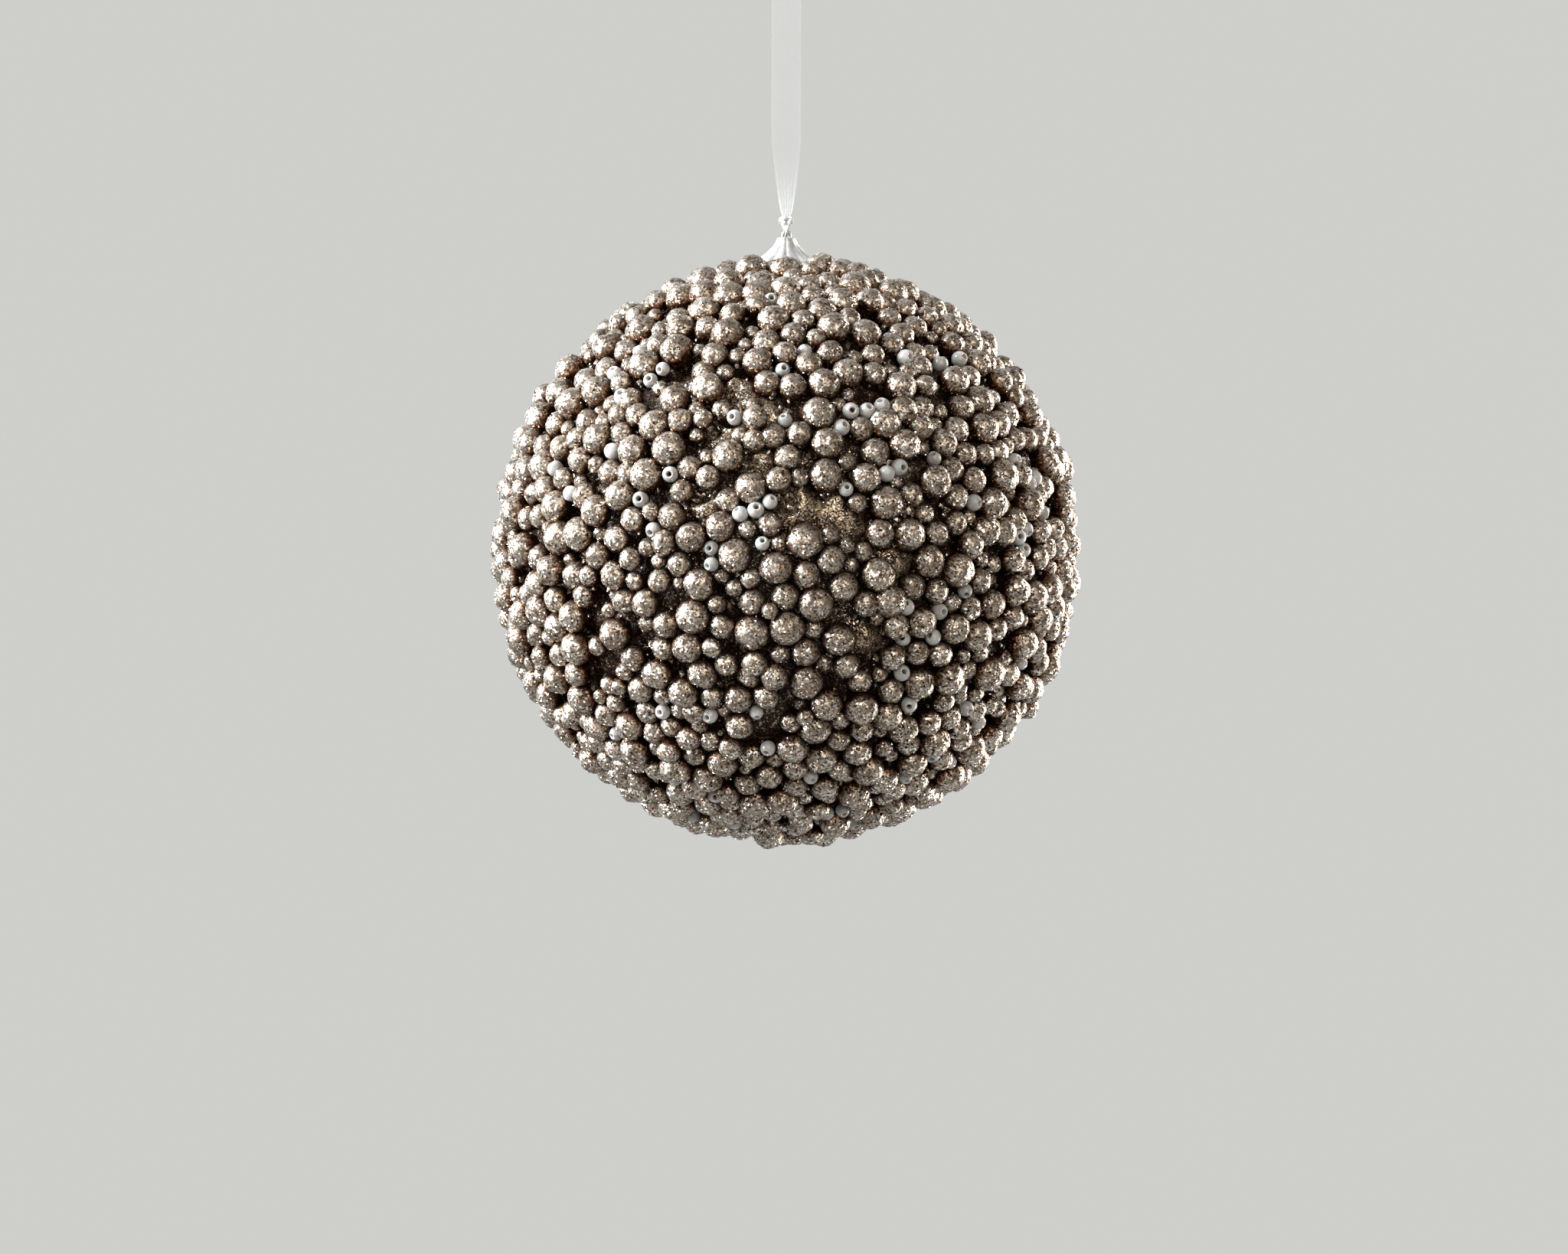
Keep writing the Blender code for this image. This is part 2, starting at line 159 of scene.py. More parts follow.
def make_lights():
    """Soft boxes aimed at the ball, with a spread that keeps most of their light off the floor."""
    for name, place, size, power, colour in AREA_LIGHTS:
        data = bpy.data.lights.new(name, "AREA")
        data.spread = LIGHT_SPREAD
        data.shape = "RECTANGLE"
        data.size, data.size_y = size
        data.energy = power
        data.color = colour
        light = bpy.data.objects.new(name, data)
        bpy.context.scene.collection.objects.link(light)
        light.location = CENTRE + np.array(place)
        to_ball = Vector(CENTRE) - light.location
        light.rotation_euler = to_ball.to_track_quat("-Z", "Y").to_euler()


def set_stops(ramp_node, stops):
    """Gives a colour ramp these (position, colour) stops, from left to right."""
    elements = ramp_node.color_ramp.elements
    while len(elements) < len(stops):
        elements.new(0.5)
    for element, (position, colour) in zip(elements, stops):
        element.position = position
        element.color = (*colour, 1)


def make_world():
    """A pale room: what the camera sees is even, and what lights the ball is dimmer in front of it."""
    world = bpy.data.worlds.new("studio")
    bpy.context.scene.world = world
    world.use_nodes = True
    nodes, links = world.node_tree.nodes, world.node_tree.links
    nodes.clear()
    output = nodes.new("ShaderNodeOutputWorld")
    mix = nodes.new("ShaderNodeMixShader")
    seen = nodes.new("ShaderNodeBackground")
    seen.inputs["Color"].default_value = (*WALL_SEEN, 1)
    lighting = nodes.new("ShaderNodeBackground")
    path = nodes.new("ShaderNodeLightPath")
    place = nodes.new("ShaderNodeTexCoord")
    towards = nodes.new("ShaderNodeVectorMath")
    towards.operation = "DOT_PRODUCT"
    towards.inputs[1].default_value = BRIGHT_SIDE
    # From -1 to 1 into 0 to 1.
    shift = nodes.new("ShaderNodeMath")
    shift.operation = "MULTIPLY_ADD"
    shift.inputs[1].default_value = 0.5
    shift.inputs[2].default_value = 0.5
    ramp = nodes.new("ShaderNodeValToRGB")
    set_stops(ramp, ROOM_LIGHT)
    links.new(place.outputs["Generated"], towards.inputs[0])
    links.new(towards.outputs["Value"], shift.inputs[0])
    links.new(shift.outputs[0], ramp.inputs["Fac"])
    links.new(ramp.outputs["Color"], lighting.inputs["Color"])
    links.new(path.outputs["Is Camera Ray"], mix.inputs[0])
    links.new(lighting.outputs[0], mix.inputs[1])
    links.new(seen.outputs[0], mix.inputs[2])
    links.new(mix.outputs[0], output.inputs["Surface"])


# ---------------------------------------------------------------- meshes


def new_object(name, vertices, faces, material, smooth=True, attributes=()):
    """A mesh object from arrays. Attributes are (name, one value for each vertex)."""
    mesh = bpy.data.meshes.new(name)
    mesh.from_pydata(np.asarray(vertices).tolist(), [], [list(map(int, face)) for face in faces])
    mesh.update()
    mesh.shade_smooth() if smooth else mesh.shade_flat()
    for title, values in attributes:
        layer = mesh.attributes.new(title, "FLOAT", "POINT")
        layer.data.foreach_set("value", np.asarray(values, np.float32))
    mesh.materials.append(material)
    made = bpy.data.objects.new(name, mesh)
    bpy.context.scene.collection.objects.link(made)
    return made


def icosphere(level):
    """(vertices, triangles) of a unit icosphere."""
    shape = bmesh.new()
    bmesh.ops.create_icosphere(shape, subdivisions=level, radius=1)
    vertices = np.array([vertex.co for vertex in shape.verts])
    faces = np.array([[vertex.index for vertex in face.verts] for face in shape.faces])
    shape.free()
    return vertices, faces


def normalised(vectors):
    return vectors / np.linalg.norm(vectors, axis=-1, keepdims=True)


def random_turn():
    """A rotation matrix drawn evenly."""
    q = normalised(draw.normal(size=4))
    w, x, y, z = q
    return np.array(
        [
            [1 - 2 * (y * y + z * z), 2 * (x * y - w * z), 2 * (x * z + w * y)],
            [2 * (x * y + w * z), 1 - 2 * (x * x + z * z), 2 * (y * z - w * x)],
            [2 * (x * z - w * y), 2 * (y * z + w * x), 1 - 2 * (x * x + y * y)],
        ]
    )


def grid_faces(rows, columns, wrap_rows=False, wrap_columns=False):
    """Quads over a grid of points, each from its first corner along the row and back along the next row."""
    faces = []
    for row in range(rows if wrap_rows else rows - 1):
        here, below = row * columns, (row + 1) % rows * columns
        for column in range(columns if wrap_columns else columns - 1):
            beside = (column + 1) % columns
            faces.append((here + column, here + beside, below + beside, below + column))
    return faces


def used_part(faces):
    """Which vertices these triangles use, and the triangles renumbered to match."""
    used, renumbered = np.unique(faces, return_inverse=True)
    return used, renumbered.reshape(-1, 3)


def joined(parts):
    """One (vertices, faces, tones, heights) from many, faces renumbered."""
    start, vertices, faces, tones, heights = 0, [], [], [], []
    for some_vertices, some_faces, tone, height in parts:
        vertices.append(some_vertices)
        faces.append(some_faces + start)
        tones.append(np.full(len(some_vertices), tone))
        heights.append(np.broadcast_to(height, len(some_vertices)))
        start += len(some_vertices)
    return tuple(np.concatenate(lists) for lists in (vertices, faces, tones, heights))


# ---------------------------------------------------------------- materials


class Nodes:
    """A material's node tree, with short ways to add and join nodes."""

    def __init__(self, name):
        self.material = bpy.data.materials.new(name)
        self.material.use_nodes = True
        self.tree = self.material.node_tree
        self.shader = self.tree.nodes["Principled BSDF"]
        self.coordinates = None

    def add(self, kind, **settings):
        node = self.tree.nodes.new(kind)
        for key, value in settings.items():
            setattr(node, key, value)
        return node

    def join(self, source, target):
        self.tree.links.new(source, target)

    def feed(self, socket, source):
        """Joins a node's output to a socket of the shader."""
        self.join(source, self.shader.inputs[socket])

    def put(self, socket, value):
        """Sets a socket of the shader to one value all over."""
        self.shader.inputs[socket].default_value = value

    def place(self):
        if self.coordinates is None:
            self.coordinates = self.add("ShaderNodeTexCoord").outputs["Object"]
        return self.coordinates

    def voronoi(self, size):
        node = self.add("ShaderNodeTexVoronoi")
        node.inputs["Scale"].default_value = 1 / size
        self.join(self.place(), node.inputs["Vector"])
        return node

    def noise(self, size, detail=2.0, roughness=0.5):
        node = self.add("ShaderNodeTexNoise")
        node.inputs["Scale"].default_value = 1 / size
        node.inputs["Detail"].default_value = detail
        node.inputs["Roughness"].default_value = roughness
        self.join(self.place(), node.inputs["Vector"])
        return node.outputs["Fac"]

    def math(self, operation, a, b=0.5, c=0.5, clamp=False):
        node = self.add("ShaderNodeMath", operation=operation, use_clamp=clamp)
        for socket, value in zip(node.inputs, (a, b, c)):
            if isinstance(value, (int, float)):
                socket.default_value = value
            else:
                self.join(value, socket)
        return node.outputs[0]

    def vector(self, operation, a, b=(0, 0, 0)):
        node = self.add("ShaderNodeVectorMath", operation=operation)
        for socket, value in zip(node.inputs, (a, b)):
            if isinstance(value, tuple):
                socket.default_value = value
            else:
                self.join(value, socket)
        return node.outputs["Vector"]

    def scaled(self, vector, factor):
        node = self.add("ShaderNodeVectorMath", operation="SCALE")
        self.join(vector, node.inputs[0])
        self.join(factor, node.inputs["Scale"])
        return node.outputs["Vector"]

    def ramp(self, factor, stops):
        node = self.add("ShaderNodeValToRGB")
        set_stops(node, stops)
        self.join(factor, node.inputs["Fac"])
        return node.outputs["Color"]

    def two_tone(self, factor, dark, light, low=0.3, high=0.7):
        return self.ramp(factor, ((low, dark), (high, light)))

    def mix(self, factor, a, b):
        node = self.add("ShaderNodeMix", data_type="RGBA")
        for socket, value in zip((node.inputs[0], node.inputs[6], node.inputs[7]), (factor, a, b)):
            self.join(value, socket)
        return node.outputs[2]

    def times(self, a, b):
        """One colour multiplied by another."""
        node = self.add("ShaderNodeMix", data_type="RGBA", blend_type="MULTIPLY")
        node.inputs[0].default_value = 1.0
        self.join(a, node.inputs[6])
        self.join(b, node.inputs[7])
        return node.outputs[2]

    def bump(self, height, distance):
        node = self.add("ShaderNodeBump")
        node.inputs["Strength"].default_value = 1.0
        node.inputs["Distance"].default_value = distance
        self.join(height, node.inputs["Height"])
        return node.outputs["Normal"]

    def attribute(self, name):
        return self.add("ShaderNodeAttribute", attribute_name=name).outputs["Fac"]


FLAKE = 0.29 * MM
DUST_FLAKE = 0.24 * MM
# How far flakes tilt: all of them this much, and the few steep ones up to the rest more.
FLAT_TILT = 0.30
CRUST_TILT = 2.6
DUST_TILT = 2.2
STEEPNESS = 5.0
WHITE = (1.0, 1.0, 1.0)
CRUST_TINTS = (
    (0.0, (0.030, 0.010, 0.005)),
    (0.10, (0.10, 0.055, 0.035)),
    (0.20, (0.31, 0.25, 0.19)),
    (0.66, (0.42, 0.36, 0.28)),
    (0.88, (0.62, 0.605, 0.58)),
    (1.0, (0.88, 0.90, 0.92)),
)
# Glue stain and painted shade by height: darkest brown at the foot of a bead, where its neighbours shade it,
# and gone further up.
GLUE_STAIN_AND_SHADE = ((0.0, (0.16, 0.07, 0.04)), (0.22, (0.42, 0.28, 0.20)), (0.52, WHITE))
CHIP_TINTS = (
    (0.0, (0.06, 0.025, 0.012)),
    (0.25, (0.28, 0.21, 0.15)),
    (0.6, (0.50, 0.44, 0.36)),
    (0.85, (0.92, 0.91, 0.90)),
)
DUST_TINTS = (
    (0.0, (0.12, 0.06, 0.03)),
    (0.5, (0.33, 0.26, 0.17)),
    (0.85, (0.48, 0.41, 0.29)),
    (0.96, (0.85, 0.80, 0.70)),
)
DUST_THRESHOLD = 1.32
WEAVE_PITCH = 0.28 * MM
KNOT_RIDGES = 22.0
GLASS_IOR = 1.5


def flake_normal(n, size, loose):
    """Each flake's own tilt, most nearly flat and a few steep, and its three random values."""
    cells = n.voronoi(size).outputs["Color"]
    split = n.add("ShaderNodeSeparateColor")
    n.join(cells, split.inputs[0])
    red, green, blue = split.outputs
    reach = n.math("MULTIPLY_ADD", n.math("POWER", blue, STEEPNESS), loose, FLAT_TILT)
    surface = n.add("ShaderNodeNewGeometry").outputs["Normal"]
    tilt = n.scaled(n.vector("SUBTRACT", cells, (0.5, 0.5, 0.5)), reach)
    n.feed("Normal", n.vector("NORMALIZE", n.vector("ADD", surface, tilt)))
    return red, green, blue


def glitter_material():
    """A crust of flat flakes, each with its own tilt and tint, darkened brown low on each bead: partly glue
    stain, partly painted shade where the beads hide each other.
    """
    n = Nodes("glitter_crust")
    red, green, _ = flake_normal(n, FLAKE, CRUST_TILT)
    tint = n.ramp(red, CRUST_TINTS)
    wear = n.two_tone(n.noise(1.3 * MM, 3.0, 0.6), (0.50, 0.40, 0.34), WHITE, high=0.50)
    tone = n.two_tone(n.attribute("tone"), (0.80, 0.77, 0.76), (1.08, 1.08, 1.07), 0.0, 1.0)
    ragged = n.math("MULTIPLY_ADD", n.noise(0.7 * MM, 3.0), 0.7, -0.35)
    # Painted shade between the beads, partly glue stain: each bead is darkened brown towards its foot, by its
    # height.
    stain_and_shade = n.ramp(n.math("ADD", n.attribute("height"), ragged), GLUE_STAIN_AND_SHADE)
    n.feed("Base Color", n.times(n.times(n.times(tint, wear), tone), stain_and_shade))
    n.feed("Roughness", n.math("MULTIPLY_ADD", green, 0.24, 0.20))
    n.put("Metallic", 0.9)
    return n.material


def chip_material():
    """Single flakes, from dark bronze to bright silver."""
    n = Nodes("glitter_chip")
    tint = n.ramp(n.attribute("tone"), CHIP_TINTS)
    n.feed("Base Color", n.times(tint, n.two_tone(n.noise(0.1 * MM), (0.8, 0.8, 0.8), WHITE)))
    n.put("Metallic", 0.9)
    n.put("Roughness", 0.22)
    return n.material


def glue_material():
    """Dark tinted glue, wet looking, with glitter dust that lies thickest in the bare patches."""
    n = Nodes("dusted_glue")
    red, green, blue = flake_normal(n, DUST_FLAKE, DUST_TILT)
    clumps = n.math("MULTIPLY_ADD", n.noise(1.0 * MM, 4.0, 0.6), 2.0, -0.5)
    dust = n.math("ADD", n.math("MULTIPLY", n.attribute("dust"), 0.5), clumps)
    shown = n.math("GREATER_THAN", n.math("ADD", red, dust), DUST_THRESHOLD)
    tint = n.ramp(green, DUST_TINTS)
    glue = n.two_tone(n.noise(1.1 * MM, 3.0), (0.006, 0.002, 0.001), (0.030, 0.010, 0.005), high=0.75)
    n.feed("Base Color", n.mix(shown, glue, tint))
    n.feed("Metallic", n.math("MULTIPLY", shown, 0.85))
    n.put("Specular IOR Level", 0.2)
    n.feed("Roughness", n.math("MULTIPLY_ADD", blue, 0.3, 0.2))
    return n.material


def seed_material():
    """Milky glass, a little cloudy and pitted."""
    n = Nodes("milky_glass")
    cloud = n.noise(0.8 * MM, 3.0, 0.6)
    tint = n.two_tone(cloud, (0.42, 0.42, 0.40), (0.62, 0.625, 0.61))
    tone = n.two_tone(n.attribute("tone"), (0.70, 0.69, 0.67), WHITE, 0.0, 1.0)
    n.feed("Base Color", n.times(tint, tone))
    n.feed("Roughness", n.math("MULTIPLY_ADD", cloud, 0.2, 0.08))
    n.feed("Normal", n.bump(n.noise(0.3 * MM, 2.0), 0.02 * MM))
    n.put("Transmission Weight", 0.12)
    n.put("Subsurface Weight", 0.5)
    n.put("Subsurface Scale", 0.8 * MM)
    n.put("IOR", GLASS_IOR)
    return n.material


def silver_material():
    """Bright stamped silver with drawing marks and a little tarnish."""
    n = Nodes("stamped_silver")
    haze = n.noise(1.2 * MM, 3.0, 0.6)
    n.feed("Base Color", n.two_tone(haze, (0.72, 0.72, 0.71), (0.93, 0.93, 0.92)))
    n.feed("Roughness", n.math("MULTIPLY_ADD", haze, 0.3, 0.25))
    n.feed("Normal", n.bump(n.noise(0.25 * MM, 3.0), 0.03 * MM))
    n.put("Metallic", 1.0)
    return n.material


def steel_material():
    """Drawn spring wire."""
    n = Nodes("spring_wire_steel")
    marks = n.noise(0.15 * MM, 3.0, 0.6)
    n.feed("Base Color", n.two_tone(marks, (0.28, 0.28, 0.27), (0.45, 0.45, 0.44)))
    n.feed("Roughness", n.math("MULTIPLY_ADD", marks, 0.25, 0.15))
    n.feed("Normal", n.bump(marks, 0.01 * MM))
    n.put("Metallic", 1.0)
    return n.material


def glass_material():
    """Clear blown glass with faint waves."""
    n = Nodes("blown_glass")
    waves = n.noise(9 * MM, 2.0)
    n.feed("Base Color", n.two_tone(waves, (0.86, 0.90, 0.88), (0.95, 0.97, 0.96)))
    n.feed("Roughness", n.math("MULTIPLY_ADD", waves, 0.05, 0.01))
    n.feed("Normal", n.bump(waves, 0.4 * MM))
    n.put("Transmission Weight", 1.0)
    n.put("IOR", GLASS_IOR)
    return n.material


def organza_material():
    """Sheer white weave: the threads are seen, and the gaps between them let the background through."""
    n = Nodes("sheer_organza")
    along = n.attribute("along")
    across = n.attribute("across")
    waves_per_metre = 2 * math.pi / WEAVE_PITCH
    warp = n.math("SINE", n.math("MULTIPLY", across, waves_per_metre))
    weft = n.math("SINE", n.math("MULTIPLY", along, waves_per_metre))
    thread = n.math("MAXIMUM", warp, weft)
    cover = n.math("MULTIPLY_ADD", thread, 0.03, 0.05)
    n.feed("Alpha", n.math("ADD", cover, n.attribute("edge"), clamp=True))
    n.feed("Base Color", n.two_tone(n.noise(3 * MM, 2.0), (0.66, 0.67, 0.66), (0.76, 0.77, 0.76)))
    n.feed("Normal", n.bump(thread, 0.03 * MM))
    n.put("Roughness", 0.6)
    n.put("Sheen Weight", 0.2)
    return n.material


def knot_material():
    """The same organza pulled tight, many layers thick, with its threads running along the fold."""
    n = Nodes("gathered_organza")
    fold = n.noise(0.35 * MM, 3.0, 0.6)
    n.feed("Base Color", n.two_tone(fold, (0.50, 0.50, 0.49), (0.78, 0.78, 0.77), low=0.25))
    ridges = n.math("SINE", n.math("MULTIPLY", n.attribute("across"), KNOT_RIDGES))
    n.feed("Normal", n.bump(n.math("ADD", ridges, fold), 0.04 * MM))
    n.put("Roughness", 0.55)
    n.put("Sheen Weight", 0.3)
    return n.material


def floor_material():
    """Matt pale paper, very slightly uneven."""
    n = Nodes("pale_floor")
    n.feed("Base Color", n.two_tone(n.noise(0.25, 2.0), (0.60, 0.60, 0.585), (0.64, 0.64, 0.625)))
    n.put("Roughness", 0.8)
    return n.material


# ---------------------------------------------------------------- ribbon

RIBBON_WIDTH = 5.0 * MM
RIBBON_FOOT_GAP = 0.55 * MM
LOOP_BEND = 3.65 * MM
LOOP_CENTRE = -3.5 * MM
STRAND_ROWS = 60
BEND_ROWS = 20
ACROSS = 17
# The gather at the knot: its width and length, how soon it opens, and its pleats.
GATHERED_WIDTH = 1.5 * MM
GATHER_LENGTH = 13 * MM
GATHER_CURVE = 0.7
PLEAT_DEPTH = 0.28 * MM
PLEATS = 3
# The open band cups to and fro a little as it rises.
CUP_DEPTH = 0.25 * MM
CUP_LENGTH = 9 * MM
# Extra cover of the weave: at the woven edges, and where the band is gathered.
SELVEDGE_COVER = 0.05
GATHER_COVER = 0.20


def ribbon_route():
    """(y, z) from the knot up the back strand, over the top bend and down the front strand."""
    strand = []
    for i in range(STRAND_ROWS):
        out = (LOOP_BEND - RIBBON_FOOT_GAP) * i / STRAND_ROWS
        strand.append((RIBBON_FOOT_GAP + out, TWIST_Z + (LOOP_CENTRE - TWIST_Z) * i / STRAND_ROWS))
    bend = []
    for i in range(BEND_ROWS + 1):
        turn = math.pi * i / BEND_ROWS
        bend.append((LOOP_BEND * math.cos(turn), LOOP_CENTRE + LOOP_BEND * math.sin(turn)))
    return np.array(strand + bend + [(-y, z) for y, z in reversed(strand)])


def make_ribbon(material):
    """The sheer band. It's flat to the front, and gathers into pleats as it comes down to the knot."""
    route = ribbon_route()
    steps = np.linalg.norm(np.diff(route, axis=0), axis=1)
    along = np.concatenate([[0], np.cumsum(steps)])
    length = along[-1]
    from_knot = np.minimum(along, length - along)
    open_share = np.clip(from_knot / GATHER_LENGTH, 0, 1) ** GATHER_CURVE
    width = GATHERED_WIDTH + (RIBBON_WIDTH - GATHERED_WIDTH) * open_share
    tangent = normalised(np.gradient(route, axis=0))
    vertices, across_all, along_all, edge_all = [], [], [], []
    for row, (y, z) in enumerate(route):
        for column in range(ACROSS):
            u = 2 * column / (ACROSS - 1) - 1
            pleat = PLEAT_DEPTH * (1 - open_share[row]) * math.cos(PLEATS * math.pi * u)
            bow = math.cos(0.5 * math.pi * u) * math.sin(along[row] / CUP_LENGTH)
            off = pleat + CUP_DEPTH * open_share[row] * bow
            vertices.append((u * width[row] / 2, y + off * tangent[row][1], z - off * tangent[row][0]))
            across_all.append(u * RIBBON_WIDTH / 2)
            along_all.append(along[row])
            selvedge = SELVEDGE_COVER if column in (0, ACROSS - 1) else 0.0
            edge_all.append(selvedge + GATHER_COVER * (1 - open_share[row]) ** 2)
    faces = grid_faces(len(route), ACROSS)
    attributes = (("across", across_all), ("along", along_all), ("edge", edge_all))
    ribbon = new_object("sheer_ribbon", vertices, faces, material, attributes=attributes)
    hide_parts("ribbon_loop")
    return ribbon, [(0, y, z) for y, z in route], float(length)


# ---------------------------------------------------------------- tubes, knot, clip, cap


TUBE_RIDGES = 5
# Any direction that no tube here starts along.
TUBE_START = (0.3, 0.9, 0.1)


def tube(line, radius, sides, ridge=0.0):
    """(vertices, faces, turn round it) of a tube along this line, its ends closed, with lengthwise ridges."""
    line = np.asarray(line, float)
    tangent = normalised(np.gradient(line, axis=0))
    side = np.cross(tangent[0], TUBE_START)
    vertices, across = [], []
    for along, place in zip(tangent, line):
        side = normalised(side - along * (side @ along))
        other = np.cross(along, side)
        for k in range(sides):
            turn = 2 * math.pi * k / sides
            reach = radius * (1 + ridge * math.cos(TUBE_RIDGES * turn))
            vertices.append(place + reach * (math.cos(turn) * side + math.sin(turn) * other))
            across.append(turn)
    faces = grid_faces(len(line), sides, wrap_columns=True)
    faces.append(tuple(reversed(range(sides))))
    faces.append(tuple((len(line) - 1) * sides + k for k in range(sides)))
    return np.array(vertices), faces, across


def smooth_line(points, steps):
    """Points along a Catmull-Rom curve through these, this many to a stretch."""
    points = np.asarray(points, float)
    held = np.concatenate([[2 * points[0] - points[1]], points, [2 * points[-1] - points[-2]]])
    line = []
    for before, start, end, after in zip(held, held[1:], held[2:], held[3:]):
        for t in np.arange(steps) / steps:
            bend = (2 * before - 5 * start + 4 * end - after) * t**2
            curl = (3 * start - before - 3 * end + after) * t**3
            line.append(start + ((end - before) * t + bend + curl) / 2)
    line.append(points[-1])
    return np.array(line)


# The knot: its centre below the top of the CAD knot, its half size, and the gathered band's radius in it.
KNOT_DROP = 0.6 * MM
KNOT_HALF = np.array([0.30, 0.40, 0.20]) * MM
KNOT_BAND = 0.50 * MM
KNOT_POINTS = 72
KNOT_RIDGE = 0.09
# The bight round the eye: its bend, the straight part above it, and the band's radius and spread.
BIGHT_BEND = 0.65 * MM
BIGHT_RISE = 0.6 * MM
BIGHT_TOP = 0.7
BIGHT_BAND = 0.21 * MM
BIGHT_RIDGE = 0.10
BIGHT_SPREAD = 3.2
BIGHT_SPREAD_CURVE = 0.6


def make_knot(material):
    """An overhand knot in the gathered ribbon, and the bight that goes down round the clip's eye."""
    top = np.array([0, 0, KNOT_HIGH.z - KNOT_DROP])
    turns = np.linspace(0, 2 * math.pi, KNOT_POINTS + 1)[:-1]
    trefoil = [
        np.sin(turns) + 2 * np.sin(2 * turns),
        -np.sin(3 * turns),
        np.cos(turns) - 2 * np.cos(2 * turns),
    ]
    knot_line = np.stack(trefoil, axis=1) * KNOT_HALF + top
    vertices, faces, across = tube(knot_line, KNOT_BAND, 14, KNOT_RIDGE)

    bend = [
        (0, BIGHT_BEND * math.cos(turn), EYE_Z - BIGHT_BEND * math.sin(turn))
        for turn in np.linspace(0, math.pi, 15)
    ]
    rise = [(0, BIGHT_BEND, EYE_Z + BIGHT_RISE), (0, BIGHT_BEND * BIGHT_TOP, top[2])]
    line = smooth_line(rise[::-1] + bend + [(0, -y, z) for _, y, z in rise], 3)
    more_vertices, more_faces, more_across = tube(line, BIGHT_BAND, 20, BIGHT_RIDGE)
    above_eye = np.clip((more_vertices[:, 2] - EYE_Z) / (top[2] - EYE_Z), 0, 1)
    more_vertices[:, 0] *= 1 + BIGHT_SPREAD * above_eye**BIGHT_SPREAD_CURVE

    offset = len(vertices)
    faces = faces + [tuple(index + offset for index in face) for face in more_faces]
    vertices = np.concatenate([vertices, more_vertices])
    attributes = (("across", across + more_across),)
    knot = new_object("ribbon_knot_tied", vertices, faces, material, attributes=attributes)
    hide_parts("ribbon_knot")
    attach(knot, "knot")
    return knot


WIRE = 0.5 * MM
EYE_BEND = 0.65 * MM
# One leg of the clip from its foot to its eye: (out, up) from the ball's centre, in millimetres.
CLIP_LEG = (
    ((2.9, 34.0), (2.4, 36.5), (2.7, 39.5), (3.5, 43.5), (3.1, 46.5))
    + ((2.1, 49.4), (1.1, 51.4), (0.65, 52.8), (0.65, 53.85))
)


def make_clip(material):
    """One spring wire: foot, leg, up through the cap, over the eye, and down again."""
    right = smooth_line([(x * MM, 0, CENTRE_Z + z * MM) for x, z in CLIP_LEG], 6)
    bend_z = CLIP_HIGH.z - WIRE / 2 - EYE_BEND
    eye = [
        (EYE_BEND * math.cos(turn), 0, bend_z + EYE_BEND * math.sin(turn))
        for turn in np.linspace(0, math.pi, 17)
    ]
    left = [(-x, y, z) for x, y, z in right[::-1]]
    vertices, faces, _ = tube(list(right[:-1]) + eye + left[1:], WIRE / 2, 14)
    clip = new_object("spring_wire", vertices, faces, material)
    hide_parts("spring_clip")
    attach(clip, "cap")


FLUTES = 14
FLUTE_SIDES = 12
FLUTE_DEPTH = 0.045
CAP_WALL = 0.3 * MM
# Radii of the hole on top, the flat round it and the skirt, and the height where the flare meets the skirt.
CAP_HOLE = 1.15 * MM
CAP_CROWN = 1.55 * MM
CAP_SKIRT = 6.1 * MM
CAP_SHOULDER = CENTRE_Z + 48.9 * MM
FLARE_ROWS = 14
FLARE_CURVE = 0.62


def cap_profile():
    """(radius, height, share of the flutes' depth) from the hole on top, down the flare and round the rim."""
    top, rim = CAP_HIGH.z - CAP_WALL / 2, CAP_LOW.z + CAP_WALL / 2
    rows = [
        (CAP_HOLE, top - 0.25 * MM, 0.0),
        (CAP_HOLE, top - 0.05 * MM, 0.0),
        (CAP_HOLE + 0.15 * MM, top, 0.0),
        (CAP_CROWN - 0.1 * MM, top, 0.1),
        (CAP_CROWN, top - 0.12 * MM, 0.35),
    ]
    for i in range(1, FLARE_ROWS + 1):
        share = i / FLARE_ROWS
        radius = CAP_CROWN + (CAP_SKIRT - CAP_CROWN) * share
        height = top + (CAP_SHOULDER - top) * share**FLARE_CURVE
        rows.append((radius, height, min(1.0, 0.35 + share)))
    return rows + [
        (CAP_SKIRT, CAP_SHOULDER - 0.5 * MM, 1.0),
        (CAP_SKIRT, (CAP_SHOULDER + rim) / 2, 1.0),
        (CAP_SKIRT, rim + 0.4 * MM, 0.7),
        (CAP_SKIRT + 0.12 * MM, rim + 0.15 * MM, 0.2),
        (CAP_SKIRT + 0.05 * MM, rim, 0.0),
        (CAP_SKIRT - 0.2 * MM, rim, 0.0),
    ]


def make_cap(material):
    """A stamped cap with sharp flutes down its flare and skirt, and a turned-under rim."""
    rows = cap_profile()
    around = FLUTES * FLUTE_SIDES
    vertices = []
    for radius, height, depth in rows:
        for k in range(around):
            turn = 2 * math.pi * k / around
            wave = math.cos(FLUTES * turn)
            groove = 1 - 2 * max(0.0, -wave) ** 2
            stretch = 1 + FLUTE_DEPTH * depth * (0.5 * wave + 0.5 * groove)
            vertices.append((radius * stretch * math.cos(turn), radius * stretch * math.sin(turn), height))
    faces = [(b, a, d, c) for a, b, c, d in grid_faces(len(rows), around, wrap_columns=True)]
    cap = new_object("fluted_silver_cap", vertices, faces, material)
    wall = cap.modifiers.new("Wall", "SOLIDIFY")
    wall.thickness = CAP_WALL
    wall.offset = -1
    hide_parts("fluted_cap")
    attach(cap, "cap")


# ---------------------------------------------------------------- beads

# Nothing is placed from the front nearer to the ball's outline than this share of its radius.
RIM_SHARE = 0.985
# How far from the ball's centre patches and gaps are measured.
PATCH_REACH = 47 * MM
